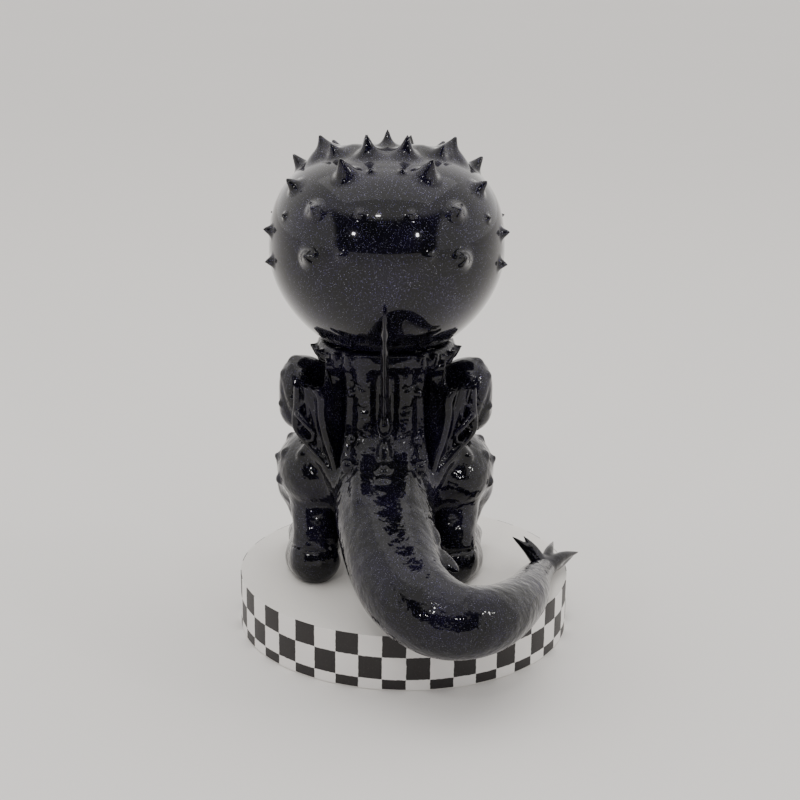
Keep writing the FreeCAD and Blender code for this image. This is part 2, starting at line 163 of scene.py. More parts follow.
def lacquer(name, flakes=1.0, lines=1.0, runs=0.0, coat=1.0):
    """Black gloss with glitter flakes, level lines, orange peel, finger marks and lumpy runs."""
    material, tree, shader = new_material(
        name, IOR=COAT_IOR, Coat_Roughness=0.018, Coat_IOR=COAT_IOR, Coat_Weight=coat,
        Specular_IOR_Level=0.5 - 0.42 * coat)
    here = place(tree)
    cells = {"Vector": here, "Scale": FLAKE}
    tint = node(tree, "ShaderNodeTexVoronoi", None, cells, "Color")
    lot, shade, hue = split(tree, tint, "ShaderNodeSeparateColor")
    centre = 1 - node(tree, "ShaderNodeTexVoronoi", None, cells).step(0.18, 0.5)
    drift = noise(tree, here, 90.0).step(0.35, 0.75)
    lit = (lot > FEWEST_FLAKES - FLAKE_DRIFT * drift) * centre * flakes
    glint = lit * shade * shade
    violet = (0.16, 0.12, 0.55, 1.0)
    silver = (0.62, 0.64, 0.72, 1.0)
    flake_colour = blend_colours(tree, hue, violet, silver)
    black = (0.0016, 0.0016, 0.0022, 1.0)
    violet_black = (0.0050, 0.0038, 0.0120, 1.0)
    deep = blend_colours(tree, drift, black, violet_black)
    colour = blend_colours(tree, glint, deep, flake_colour)
    marks = noise(tree, here, 60.0, 5.0, 0.6).step(0.52, 0.78)
    peel = noise(tree, here, 420.0, 1.0)
    wave = ((split(tree, here)[2] / LAYER).fract() - 0.5).absolute()
    patch = noise(tree, here, 70.0).step(0.50, 0.66)
    lumps = noise(tree, here, 300.0, 2.0)
    relief = peel * 0.08 + wave * patch * lines * 0.22 + lumps * runs * 7.0
    bump = node(tree, "ShaderNodeBump", None, {"Strength": 1.0, "Distance": RELIEF, "Height": relief})
    join(tree, shader, Base_Color=colour, Metallic=glint, Normal=bump,
         Roughness=0.03 + 0.10 * coat + 0.12 * marks + 0.25 * glint)
    return material


head_lacquer = lacquer("black_glitter_lacquer")
skin_lacquer = lacquer("black_lumpy_lacquer", flakes=0.7, runs=1.0, coat=0.0)
smooth_lacquer = lacquer("black_plain_lacquer", flakes=0.55, lines=0.0, runs=0.6, coat=0.0)


# ---- modelling clay ------------------------------------------------------------------------
# The castings were pulled from a pattern sculpted in clay: lumps pressed together, creases cut in,
# everything smoothed over. Lengths are in millimetres, sideways from the figure's own centre line.

MM = 0.001
peg_low, peg_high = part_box("neck_peg")
CENTRE_X = (peg_low.x + peg_high.x) / 2
FAR = 9.0                   # distance that an empty grid starts with
PRESS_MARGIN = 2.5          # how far past a form's box pressing and carving still reach
CARVE_MARGIN = 1.0


class Clay:
    """Distance to the surface on a regular grid, negative inside."""

    def __init__(self, low, high, step):
        self.low = np.array(low, float)
        self.step = step
        count = np.ceil((np.array(high) - self.low) / step).astype(int) + 1
        self.value = np.full(count, FAR, np.float32)

    def window(self, low, high, reach):
        """The part of the grid near a box, as slices and as coordinates."""
        first = np.floor((np.array(low) - reach - self.low) / self.step).astype(int)
        last = np.ceil((np.array(high) + reach - self.low) / self.step).astype(int) + 1
        first = np.clip(first, 0, self.value.shape)
        last = np.clip(last, 0, self.value.shape)
        axes = [self.low[i] + self.step * np.arange(first[i], last[i]) for i in range(3)]
        slices = tuple(slice(first[i], last[i]) for i in range(3))
        return slices, np.meshgrid(*axes, indexing="ij", sparse=True)

    def press(self, form, blend=1.0):
        """Adds a form, with a fillet where it meets what is there."""
        distance, low, high = form
        slices, grid = self.window(low, high, blend + PRESS_MARGIN)
        old = self.value[slices]
        new = distance(*grid).astype(np.float32)
        share = np.clip(0.5 + 0.5 * (old - new) / blend, 0.0, 1.0)
        self.value[slices] = old * (1 - share) + new * share - blend * share * (1 - share)

    def carve(self, form, blend=0.6):
        """Takes a form away, with a rounded rim."""
        distance, low, high = form
        slices, grid = self.window(low, high, blend + CARVE_MARGIN)
        old = self.value[slices]
        new = -distance(*grid).astype(np.float32)
        share = np.clip(0.5 - 0.5 * (old - new) / blend, 0.0, 1.0)
        self.value[slices] = old * (1 - share) + new * share + blend * share * (1 - share)

    def front(self, x, z):
        """The foremost point of the clay at a sideways place and a height."""
        i, _, k = np.round((np.array((x, 0, z)) - self.low) / self.step).astype(int)
        column = self.value[i, :, k]
        n = int(np.argmax(column < 0))
        share = column[n - 1] / (column[n - 1] - column[n])
        return x, self.low[1] + self.step * (n - 1 + share), z

    def soften(self, passes):
        """Smooths the surface all over, as a wet sponge does."""
        for _ in range(passes):
            for axis in range(3):
                held = np.moveaxis(self.value, axis, 0)
                held[1:-1] = 0.5 * held[1:-1] + 0.25 * (held[:-2] + held[2:])

    def trim(self, axis, at, keep):
        """Cuts flat across an axis; keep is +1 to keep what is above the cut, -1 what is below."""
        line = self.low[axis] + self.step * np.arange(self.value.shape[axis])
        shape = [1, 1, 1]
        shape[axis] = -1
        plane = (keep * (at - line)).astype(np.float32).reshape(shape)
        self.value = np.maximum(self.value, plane)

    def skin(self, name, material, side=1.0):
        """The clay's surface as a smooth closed mesh; side -1 gives the mirrored piece."""
        points, quads = surface_net(self.value, self.low, self.step)
        if side < 0:
            quads = quads[:, ::-1]
        return mesh_piece(name, points * (side, 1, 1), quads, material)


def surface_net(value, low, step):
    """One point in each cell that the surface crosses, and one four-sided face at each crossed edge."""
    inside = value < 0
    shape = np.array(value.shape) - 1
    corner = [(i, j, k) for i in (0, 1) for j in (0, 1) for k in (0, 1)]
    total = np.zeros(shape, np.int8)
    for i, j, k in corner:
        total += inside[i:i + shape[0], j:j + shape[1], k:k + shape[2]]
    active = np.argwhere((total > 0) & (total < 8))
    label = np.full(shape, -1, np.int64)
    label[tuple(active.T)] = np.arange(len(active))
    points = np.zeros((len(active), 3))
    hits = np.zeros(len(active))
    for a in corner:
        for axis in range(3):
            if a[axis]:
                continue
            b = list(a)
            b[axis] = 1
            start = value[tuple((active + a).T)]
            end = value[tuple((active + b).T)]
            crossed = (start < 0) != (end < 0)
            share = start[crossed] / (start[crossed] - end[crossed])
            spot = np.array(a, float)[None, :].repeat(len(share), 0)
            spot[:, axis] += share
            points[crossed] += spot
            hits[crossed] += 1
    points = active + points / hits[:, None]
    quads = []
    for axis in range(3):
        u, v = (axis + 1) % 3, (axis + 2) % 3
        first = np.take(inside, range(value.shape[axis] - 1), axis)
        second = np.take(inside, range(1, value.shape[axis]), axis)
        edges = np.argwhere(first != second)
        keep = (edges[:, u] > 0) & (edges[:, v] > 0) & (edges[:, u] < shape[u]) & (edges[:, v] < shape[v])
        edges = edges[keep]
        leaving = first[tuple(edges.T)]
        around = []
        for du, dv in ((1, 1), (0, 1), (0, 0), (1, 0)):
            cell = edges.copy()
            cell[:, u] -= du
            cell[:, v] -= dv
            around.append(label[tuple(cell.T)])
        ring = np.stack(around, 1)
        ring[~leaving] = ring[~leaving][:, ::-1]
        quads.append(ring)
    quads = np.concatenate(quads)
    points = settle(points, quads, value)
    return low + points * step, quads


def sample(value, points):
    """Value and slope of the grid at points between its nodes, points in cells."""
    base = np.clip(np.floor(points).astype(int), 0, np.array(value.shape) - 2)
    t = points - base
    result = np.zeros(len(points))
    slope = np.zeros((len(points), 3))
    for i in (0, 1):
        for j in (0, 1):
            for k in (0, 1):
                corner = value[base[:, 0] + i, base[:, 1] + j, base[:, 2] + k]
                weight = [t[:, n] if c else 1 - t[:, n] for n, c in enumerate((i, j, k))]
                result += corner * weight[0] * weight[1] * weight[2]
                for n, c in enumerate((i, j, k)):
                    others = weight[(n + 1) % 3] * weight[(n + 2) % 3]
                    slope[:, n] += corner * others * (1 if c else -1)
    return result, slope


SETTLE_PASSES = 4
HOLD, PULL = 0.45, 0.55     # shares of a point's own place and of its neighbours' mean place
LONGEST_SLIDE = 0.5         # in cells


def settle(points, quads, value):
    """Evens out the points and slides them back on to the surface."""
    for _ in range(SETTLE_PASSES):
        total = np.zeros_like(points)
        count = np.zeros(len(points))
        for a in range(4):
            for b in (a - 1, (a + 1) % 4):
                np.add.at(total, quads[:, a], points[quads[:, b]])
                np.add.at(count, quads[:, a], 1)
        points = HOLD * points + PULL * total / count[:, None]
        height, slope = sample(value, points)
        size = np.maximum((slope ** 2).sum(1), 1e-6)
        move = height[:, None] * slope / size[:, None]
        points = points - np.clip(move, -LONGEST_SLIDE, LONGEST_SLIDE)
    return points


def mesh_piece(name, points, faces, material):
    """A mesh object at the origin from points in the figure's own millimetres."""
    places = (np.asarray(points, float) * MM + (CENTRE_X, 0, 0)).tolist()
    mesh = bpy.data.meshes.new(name)
    mesh.from_pydata(places, [], [list(map(int, face)) for face in faces])
    mesh.validate()
    mesh.shade_smooth()
    mesh.materials.append(material)
    piece = bpy.data.objects.new(name, mesh)
    bpy.context.scene.collection.objects.link(piece)
    return piece


def egg(centre, radii, turn=None):
    """Ellipsoid; turn is a rotation matrix for its axes."""
    radii = np.array(radii, float)
    axes = np.eye(3) if turn is None else np.array(turn)

    def distance(x, y, z):
        p = (x - centre[0], y - centre[1], z - centre[2])
        local = [p[0] * axes[0][n] + p[1] * axes[1][n] + p[2] * axes[2][n] for n in range(3)]
        outer = np.sqrt(sum((local[n] / radii[n]) ** 2 for n in range(3)))
        inner = np.sqrt(sum((local[n] / radii[n] ** 2) ** 2 for n in range(3)))
        return outer * (outer - 1) / np.maximum(inner, 1e-6)

    reach = radii.max() if turn is not None else radii
    return distance, np.array(centre) - reach, np.array(centre) + reach


def bar(points, radii):
    """Round bar through points, whose radius changes evenly from each to the next.

    Two points that follow each other can't be in one place: the distance is then not a number.
    """
    points = np.array(points, float)
    radii = np.array(radii, float)

    def distance(x, y, z):
        nearest = None
        for a, b, ra, rb in zip(points[:-1], points[1:], radii[:-1], radii[1:]):
            run = b - a
            dx, dy, dz = x - a[0], y - a[1], z - a[2]
            t = (dx * run[0] + dy * run[1] + dz * run[2]) / (run @ run)
            t = np.clip(t, 0, 1)
            away = (dx - t * run[0]) ** 2 + (dy - t * run[1]) ** 2 + (dz - t * run[2]) ** 2
            gap = np.sqrt(away) - ra - (rb - ra) * t
            nearest = gap if nearest is None else np.minimum(nearest, gap)
        return nearest

    reach = radii.max()
    return distance, points.min(0) - reach, points.max(0) + reach


def curve(points, count):
    """Smooth line through points, each a tuple of numbers, sampled evenly between them."""
    points = np.array(points, float)
    ends = np.vstack([2 * points[0] - points[1], points, 2 * points[-1] - points[-2]])
    result = []
    for t in np.linspace(0, len(points) - 1, count):
        n = min(int(t), len(points) - 2)
        f = t - n
        a, b, c, d = ends[n:n + 4]
        result.append(0.5 * (2 * b + (c - a) * f + (2 * a - 5 * b + 4 * c - d) * f ** 2
                             + (3 * b - a - 3 * c + d) * f ** 3))
    return np.array(result)


def aim(azimuth, rise):
    """Unit vector: azimuth from straight back towards the left, rise above level, in degrees."""
    azimuth, rise = math.radians(azimuth), math.radians(rise)
    level = math.cos(rise)
    return np.array([level * math.sin(azimuth), level * math.cos(azimuth), math.sin(rise)])


def spun(axis, degrees):
    """Rotation matrix about X, Y or Z."""
    return Matrix.Rotation(math.radians(degrees), 3, axis)


# ---- head ----------------------------------------------------------------------------------
# One hollow casting, a squashed ball that narrows to the neck, with cone spikes drawn out of it.
# It sits on the neck peg with a hairline gap, so it turns all the way round.

HEAD_WIDE = 30.7
HEAD_MIDDLE = 103.9
CROWN_RISE, CROWN_POWER = 26.4, 2.65
JAW_DROP, JAW_POWER = 28.7, 1.8
HEAD_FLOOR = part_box("head_shell")[0].z / MM


def head_form():
    """Ball whose upper half is squarer than its lower half."""
    def distance(x, y, z):
        r = np.sqrt(x ** 2 + y ** 2) + 1e-6
        h = z - HEAD_MIDDLE
        upper = h > 0
        power = np.where(upper, CROWN_POWER, JAW_POWER)
        tall = np.where(upper, CROWN_RISE, JAW_DROP)
        high = np.abs(h) / tall + 1e-9
        wide = r / HEAD_WIDE
        total = wide ** power + high ** power
        q = total ** (1 / power)
        slope_r = q * wide ** (power - 1) / total / HEAD_WIDE
        slope_h = q * high ** (power - 1) / total / tall
        return (q - 1) / np.maximum(np.sqrt(slope_r ** 2 + slope_h ** 2), 1e-3)

    reach = HEAD_WIDE
    return distance, (-reach, -reach, HEAD_MIDDLE - JAW_DROP), (reach, reach, HEAD_MIDDLE + CROWN_RISE)


def head_reach(direction):
    """Distance from the head's middle to its surface along a unit vector."""
    level = math.hypot(direction[0], direction[1]) / HEAD_WIDE
    upper = direction[2] > 0
    power = CROWN_POWER if upper else JAW_POWER
    tall = abs(direction[2]) / (CROWN_RISE if upper else JAW_DROP)
    return (level ** power + tall ** power) ** (-1 / power)


head_clay = Clay((-36, -36, 79), (36, 36, 138), 0.5)
head_clay.press(head_form())

# azimuth, rise, root radius, length, lean of the tip outwards and upwards, fillet
SPIKES = [
    (28.0, 69.5, 3.0, 5.6, 0, 8, 2.4), (94.0, 58.5, 3.4, 5.4, 0, 6, 3.0),
    (70.0, 62.0, 2.6, 3.6, 4, 0, 2.0), (29.0, 48.0, 3.5, 5.0, 4, 12, 1.4),
    (101.0, 43.0, 2.5, 3.8, 0, 10, 1.4), (64.0, 36.0, 2.5, 3.0, 4, 6, 1.4),
    (38.0, 27.5, 2.9, 3.2, -22, -4, 1.2), (38.0, 6.5, 3.0, 3.2, -22, 8, 1.2),
    (75.0, 12.5, 2.2, 1.7, 0, 0, 0.9), (71.0, -1.5, 2.2, 1.5, 0, 0, 0.9),
    (108.0, 14.0, 2.2, 1.9, 0, 0, 0.9), (60.0, 22.0, 1.3, 0.7, 0, 0, 0.8),
    (13.0, 28.0, 1.4, 0.4, 0, 0, 1.2), (21.0, 9.0, 1.4, 0.4, 0, 0, 1.2),
    (12.0, 52.0, 1.4, 0.9, 0, 0, 0.8), (140.0, 48.0, 2.8, 4.4, 0, 6, 1.4),
    (158.0, 60.0, 2.2, 3.2, 0, 6, 1.2)]
SPIKE_POINT = 0.12
CREST_RISE = 83.0            # the spike on the centre line stands almost upright
CREST_ROOT, CREST_HEIGHT, CREST_FILLET = 2.5, 6.6, 2.0

head_clay.press(egg((0, 1.5, 128.6), (9.5, 8.5, 3.2)), 4.0)
for side in (1.0, -1.0):
    for azimuth, rise, root, length, out, up, fillet in SPIKES:
        start = aim(side * azimuth, rise)
        lean = aim(side * (azimuth + out), rise + up)
        foot = start * (head_reach(start) - 0.8)
        tip = start * head_reach(start) + lean * (length + 0.7)
        middle = np.array((0, 0, HEAD_MIDDLE))
        head_clay.press(bar([middle + foot, middle + tip], [root, SPIKE_POINT]), fillet)
    head_clay.press(bar([(side * 9.0, 2.0, 129.0), (side * 17.0, -0.5, 126.6)], [2.0, 2.6]), 4.0)
crest_start = aim(0.0, CREST_RISE)
crest_foot = np.array((0, 0, HEAD_MIDDLE)) + crest_start * (head_reach(crest_start) - 0.5)
crest_tip = crest_foot + np.array((0, -0.4, CREST_HEIGHT))
head_clay.press(bar([crest_foot, crest_tip], [CREST_ROOT, SPIKE_POINT]), CREST_FILLET)

eye_boxes = {side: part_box("eye_" + side) for side in ("left", "right")}
for side, sign in (("left", 1.0), ("right", -1.0)):
    low, high = eye_boxes[side]
    middle = (low + high) / 2 / MM
    eye_x, eye_y, eye_z = middle.x - CENTRE_X / MM, middle.y, middle.z
    eye_radius = (high.z - low.z) / 2 / MM
    head_clay.press(egg((eye_x, eye_y + 0.6, eye_z), (eye_radius + 1.5,) * 3), 3.0)
    brow = [(sign * 5.0, -31.0, eye_z + 4.6), (sign * 12.5, -29.6, eye_z + 7.6),
            (sign * 20.5, -23.5, eye_z + 6.0)]
    head_clay.press(bar(curve(brow, 8), np.linspace(1.2, 2.0, 8)), 2.0)
    head_clay.press(egg((sign * 14.5, -24.0, 95.5), (6.0, 4.5, 4.5)), 4.0)
    head_clay.carve(egg((eye_x, eye_y, eye_z), (eye_radius + 0.05,) * 3), 0.3)
    opening = (eye_x + sign * 2.5, eye_y - 5.0, eye_z - 0.6)
    head_clay.carve(egg(opening, (5.3, 5.2, 3.9), spun("Z", sign * 27.0)), 0.6)
head_clay.press(egg((0, -28.2, 101.4), (9.0, 5.6, 5.0)), 3.0)
for sign in (1.0, -1.0):
    head_clay.press(egg((sign * 3.4, -32.4, 103.4), (1.7, 1.3, 1.3)), 0.8)
    head_clay.carve(egg((sign * 3.4, -33.8, 103.5), (0.8, 1.3, 0.6)), 0.3)
mouth = [head_clay.front(x, 97.2 + 0.016 * x * x) for x in np.arange(-15.0, 15.1, 1.0)]
head_clay.carve(bar(mouth, [0.55] * len(mouth)), 0.6)
head_clay.trim(2, HEAD_FLOOR, 1)
head_clay.carve(bar([(0, 0, 70), (0, 0, HEAD_FLOOR + 2.0)], [9.0, 9.0]), 0.3)

head = head_clay.skin("head", head_lacquer)
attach(head, "head")
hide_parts("head_shell")


# ---- display base --------------------------------------------------------------------------
# A turned wooden disc in matt off-white paint, with printed check tape wound round its rim and
# two screws from below. The paint has a fine brushed tooth.

disc_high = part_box("plinth_disc")[1]
tape_low, tape_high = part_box("checker_tape")
BASE_TOP = disc_high.z / MM
CHECKS_ROUND = 46
CHECK_SIZE = 2 * math.pi * tape_high.x / CHECKS_ROUND
FIRST_ROW = 0.00303          # the tape was trimmed, so its lowest row is only half a square tall
CHECK_PHASE = 0.3615         # turn of the first line between columns, in radians
INK_WANDER = 0.05            # how far the ink strays over a line, in squares


def base_paint():
    material, tree, shader = new_material("matt_white_paint", Specular_IOR_Level=0.35)
    here = place(tree)
    cloud = noise(tree, here, 35.0, 4.0)
    colour = blend_colours(tree, cloud, (0.80, 0.775, 0.735, 1.0), (0.87, 0.85, 0.815, 1.0))
    grain = noise(tree, here, 1500.0, 3.0, 0.7)
    relief = grain + noise(tree, here, 260.0, 2.0) * 1.6
    facing = node(tree, "ShaderNodeNewGeometry", output="True Normal")
    tooth = {"Strength": 0.5, "Distance": 0.00008, "Height": relief, "Normal": facing}
    bump = node(tree, "ShaderNodeBump", None, tooth)
    join(tree, shader, Base_Color=colour, Roughness=0.62 + 0.2 * grain, Normal=bump)
    return material


def check_tape():
    material, tree, shader = new_material("printed_check_tape", Specular_IOR_Level=0.4)
    here = place(tree)
    wobble = noise(tree, here, 900.0, 2.0) - 0.5
    x, y, z = split(tree, here)
    turn = y.math("ARCTAN2", y, x) - CHECK_PHASE
    # a whole, even number is added to each count, so that it is positive all over the tape
    column = turn * (CHECKS_ROUND / (2 * math.pi)) + wobble * INK_WANDER + 2.0 * CHECKS_ROUND
    row = (z - FIRST_ROW) / CHECK_SIZE + wobble * INK_WANDER + 2.0
    column_edge = (column.fract() - 0.5).absolute()
    row_edge = (row.fract() - 0.5).absolute()
    black = ((column.floor() + row.floor()) / 2.0).fract() > 0.25
    edge = column_edge.math("MAXIMUM", column_edge, row_edge).step(0.485, 0.5)
    ink = black * (1 - 0.25 * edge)
    speckle = noise(tree, here, 2600.0, 2.0).step(0.60, 0.80)
    dark = blend_colours(tree, speckle, (0.020, 0.017, 0.017, 1.0), (0.050, 0.043, 0.042, 1.0))
    stain = noise(tree, here, 60.0)
    pale = blend_colours(tree, stain, (0.80, 0.775, 0.75, 1.0), (0.87, 0.85, 0.83, 1.0))
    colour = blend_colours(tree, ink, pale, dark)
    fibres = noise(tree, here, 1800.0, 3.0)
    bump = node(tree, "ShaderNodeBump", None, {"Strength": 0.25, "Distance": 0.00004, "Height": fibres})
    join(tree, shader, Base_Color=colour, Roughness=0.55 - 0.12 * ink + 0.1 * fibres, Normal=bump)
    return material


def lathe(name, outline, material, sides=256):
    """Round piece from a closed outline of radius and height, in metres, about the base's own axis."""
    count = len(outline)
    points = []
    for side in range(sides):
        angle = 2 * math.pi * side / sides
        points.extend([(r * math.cos(angle), r * math.sin(angle), z) for r, z in outline])
    faces = []
    for side in range(sides):
        after = (side + 1) % sides
        for n in range(count):
            m = (n + 1) % count
            faces.append((side * count + n, after * count + n, after * count + m, side * count + m))
    mesh = bpy.data.meshes.new(name)
    mesh.from_pydata(points, [], faces)
    work = bmesh.new()
    work.from_mesh(mesh)
    bmesh.ops.remove_doubles(work, verts=work.verts, dist=1e-7)
    bmesh.ops.dissolve_degenerate(work, edges=work.edges, dist=1e-8)
    bmesh.ops.recalc_face_normals(work, faces=work.faces)
    work.to_mesh(mesh)
    work.free()
    mesh.shade_flat()
    mesh.materials.append(material)
    piece = bpy.data.objects.new(name, mesh)
    bpy.context.scene.collection.objects.link(piece)
    return piece


tape_bottom = tape_low.z
tape_outer = tape_high.x
tape_inner = disc_high.x
tape_top = tape_high.z
LIP = 0.00006                # bevel of the tape's cut edges
tape_outline = [
    (tape_inner, tape_bottom), (tape_outer - LIP, tape_bottom), (tape_outer, tape_bottom + LIP),
    (tape_outer, tape_top - LIP), (tape_outer - LIP, tape_top), (tape_inner, tape_top)]
tape = lathe("check_band", tape_outline, check_tape())
tape.data.shade_smooth()
tape.data.set_sharp_from_angle(angle=math.radians(35))
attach(tape, "figure")
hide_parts("checker_tape")
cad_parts["plinth_disc"].data.materials.clear()
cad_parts["plinth_disc"].data.materials.append(base_paint())


# ---- trunk, legs and tail ------------------------------------------------------------------
# Hollow vinyl castings: a trunk, two legs and a tail. They are glued at the hips and at the tail's
# root, filled and lacquered over together, so no joint shows and one skin stands for all four. The
# feet are flat underneath, and screws from below hold them to the base.

TAIL_WAY = [                # sideways, y, z and radius along the tail, as the casting lies
    (0.0, 4.0, 46.0, 13.6), (-0.1, 18.0, 41.0, 13.2), (-1.4, 31.0, 35.6, 12.4), (-4.6, 44.0, 30.2, 11.5),
    (-10.1, 53.0, 27.0, 10.6), (-17.8, 56.3, 24.8, 9.5), (-27.2, 51.4, 23.5, 8.2),
    (-35.6, 36.0, 21.7, 6.4), (-40.2, 19.0, 20.0, 4.5), (-43.6, 9.7, 18.9, 3.0)]
NECK_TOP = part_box("torso_shell")[1].z / MM

COLLAR_SPIKES = [           # foot, tip and root radius of the spikes round the collar, on one side
    ((9.2, 15.2, 77.4), (9.8, 19.0, 82.6), 2.0), ((12.6, 12.8, 77.2), (13.4, 16.4, 81.8), 1.8),
    ((16.2, 8.0, 77.4), (18.4, 10.4, 80.2), 1.6), ((17.6, 2.0, 77.4), (20.2, 3.0, 79.6), 1.5)]

body_clay = Clay((-48, -30, 14), (32, 68, 84), 0.53)
trunk = [(0, 0.0, 80.6), (0, 0.3, 76.0), (0, 0.8, 70.0), (0, 0.8, 63.0), (0, 0.2, 54.0),
         (0, -0.5, 45.0), (0, -1, 41)]
body_clay.press(bar(trunk, [17.3, 15.6, 13.8, 13.8, 15.2, 15.0, 10.0]), 1.0)
body_clay.press(egg((0, -4.5, 52.0), (13.0, 13.4, 15.0)), 5.0)
tail_line = curve(TAIL_WAY, 90)
body_clay.press(bar(tail_line[:, :3], tail_line[:, 3]), 7.0)
ring = [(17.0 * math.sin(a), 0.4 + 16.2 * math.cos(a), 77.8) for a in np.radians(np.arange(0, 361, 12))]
body_clay.press(bar(ring, [1.9] * len(ring)), 3.0)

for side in (1.0, -1.0):
    body_clay.press(egg((side * 11.5, 1.0, 43.5), (9.0, 11.0, 9.0)), 4.0)
    body_clay.press(egg((side * 18.6, -1.0, 43.6), (10.6, 14.4, 10.4)), 3.0)
    shin = [(side * 20.2, -6.0, 42.0), (side * 21.4, -9.0, 36.5), (side * 20.6, -9.0, 29.5)]
    body_clay.press(bar(shin, [9.2, 8.8, 6.6]), 3.0)
    calf = [(side * 18.3, 3.5, 34.5), (side * 18.2, 7.8, 29.0), (side * 18.6, 9.3, 21.2)]
    body_clay.press(bar(calf, [7.4, 6.4, 6.6]), 1.6)
    body_clay.press(bar([(side * 18.6, 8.6, 20.6), (side * 19.4, -9.0, 19.4)], [6.4, 7.6]), 2.5)
    body_clay.press(egg((side * 20.4, 1.5, 18.2), (7.0, 9.0, 5.4)), 2.5)
    # back of the haunch runs up to the shoulder as a fold of skin
    fold = curve([(side * 12.0, 15.0, 45.5), (side * 15.8, 13.0, 50.8), (side * 20.8, 9.0, 53.0)], 8)
    body_clay.press(bar(fold, np.linspace(2.4, 1.6, 8)), 3.0)
body_clay.soften(7)

for side in (1.0, -1.0):
    for spread in (-4.8, 0.0, 4.8):
        toe = (side * 19.4 + spread, -15.4, 18.7)
        body_clay.press(bar([(side * 19.4 + spread * 0.7, -9.0, 20.0), toe], [4.0, 3.5]), 1.2)
        body_clay.press(bar([(toe[0], toe[1] - 2.2, 18.8), (toe[0], toe[1] - 6.4, 16.8)], [1.7, 0.3]), 0.6)
    knee = np.array((side * 28.2, -2.0, 45.8))
    body_clay.press(bar([knee, knee + (side * 2.0, 0, 0.8)], [2.4, 0.3]), 1.0)
    for x, y, z in ((26.9, 2.5, 48.6), (25.9, -7.5, 49.8), (28.2, 3.5, 41.6), (28.6, -11.0, 41.0),
                    (22.0, 9.2, 50.4)):
        body_clay.press(egg((side * x, y, z), (1.3, 1.4, 1.4)), 1.2)
    # crease where the calf folds under the haunch, and the heel's two folds
    crease = curve([(side * 11.0, 11.0, 36.5), (side * 17.0, 14.2, 36.2), (side * 23.6, 11.2, 35.6),
                    (side * 28.0, 3.0, 34.2)], 12)
    body_clay.carve(bar(crease, np.linspace(0.5, 0.9, 12)), 1.4)
    inner_fold = curve([(side * 12.2, 6.0, 20.6), (side * 11.6, 10.5, 24.0), (side * 14.0, 14.0, 27.0)], 8)
    body_clay.carve(bar(inner_fold, [0.5] * 8), 1.0)
    outer_fold = curve([(side * 25.2, 8.6, 24.6), (side * 21.0, 14.4, 25.4), (side * 16.0, 14.6, 25.0)], 8)
    body_clay.carve(bar(outer_fold, [0.3] * 8), 1.0)

    # long muscle bands beside the spine, each with a crease outside it, cut into segments
    mirror = (side, 1, 1)
    band = curve([(5.2, 14.6, 79.5), (5.0, 13.2, 72.0), (5.0, 12.9, 64.0), (5.1, 14.4, 57.0),
                  (5.3, 18.6, 52.0), (5.4, 24.4, 48.4), (5.3, 30.4, 45.0)], 24) * mirror
    body_clay.press(bar(band, [3.1] * 24), 1.2)
    rib = curve([(9.6, 12.6, 74.0), (9.4, 11.6, 66.0), (9.9, 12.6, 57.6), (10.6, 16.2, 51.6)], 14) * mirror
    body_clay.press(bar(rib, [1.1] * 14), 1.4)
    hollow = curve([(12.4, 11.4, 73.0), (12.2, 10.4, 66.0), (12.6, 11.0, 58.0),
                    (13.0, 13.4, 52.6)], 14) * mirror
    body_clay.carve(bar(hollow, [1.6] * 14), 1.6)
    for y, z in ((15.9, 71.0), (15.4, 65.4), (16.2, 58.8), (20.4, 52.6)):
        across = curve([(0, y + 1.4, z - 0.6), (side * 4.5, y + 0.7, z - 0.2),
                        (side * 8.4, y - 2.0, z + 1.2)], 8)
        body_clay.carve(bar(across, [0.35] * 8), 0.7)
    for x, y, z, size in ((8.6, 17.4, 57.8, 1.5), (9.4, 21.8, 52.0, 1.7), (8.8, 14.6, 69.6, 1.1)):
        body_clay.press(egg((side * x, y, z), (size, size, size * 1.3)), 0.8)
    for foot, tip, root in COLLAR_SPIKES:
        body_clay.press(bar(np.array((foot, tip)) * mirror, [root, 0.2]), 1.2)

body_clay.press(bar([(0, 15.2, 80.0), (0, 14.8, 66.0), (0, 15.4, 60.0)], [1.3, 1.2, 1.0]), 1.5)
for y, z, tall, deep in ((16.9, 62.0, 3.2, 2.2), (19.8, 55.2, 3.8, 2.4), (24.6, 51.9, 2.2, 2.0),
                         (27.8, 50.0, 1.6, 1.6), (31.0, 47.8, 1.4, 1.4), (34.4, 45.6, 1.2, 1.3)):
    body_clay.press(egg((0, y, z), (1.7, deep, tall), spun("X", 24.0)), 0.9)

# scutes on the tail's root and along its upper inner edge
for x, y, z, long, wide, turn in (
        (5.6, 27.0, 47.0, 3.6, 2.4, -8), (5.2, 33.0, 44.4, 3.2, 2.6, -10), (-8.4, 25.4, 45.4, 5.2, 2.2, 24),
        (-4.0, 38.0, 42.4, 2.6, 1.8, 8), (3.6, 40.0, 40.8, 3.0, 2.4, 0), (-11.6, 33.4, 39.6, 5.6, 2.0, 30),
        (-15.4, 40.4, 34.6, 5.6, 1.9, 44)):
    tilt = spun("Z", turn) @ spun("X", -24.0)
    body_clay.press(egg((x, y, z), (wide, long, 1.3), tilt), 0.8)

# belly plates
for z in (43.0, 47.2, 51.4, 55.6, 59.8):
    plate = [body_clay.front(x, z + 0.02 * x * x) for x in np.arange(-9.0, 9.1, 1.0)]
    body_clay.carve(bar(plate, [0.5] * len(plate)), 0.9)

body_clay.trim(2, BASE_TOP, 1)
body_clay.trim(2, NECK_TOP, -1)
body = body_clay.skin("trunk_legs_and_tail", skin_lacquer)
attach(body, "figure")
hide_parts("torso_shell", "leg_left", "leg_right", "tail_shell")


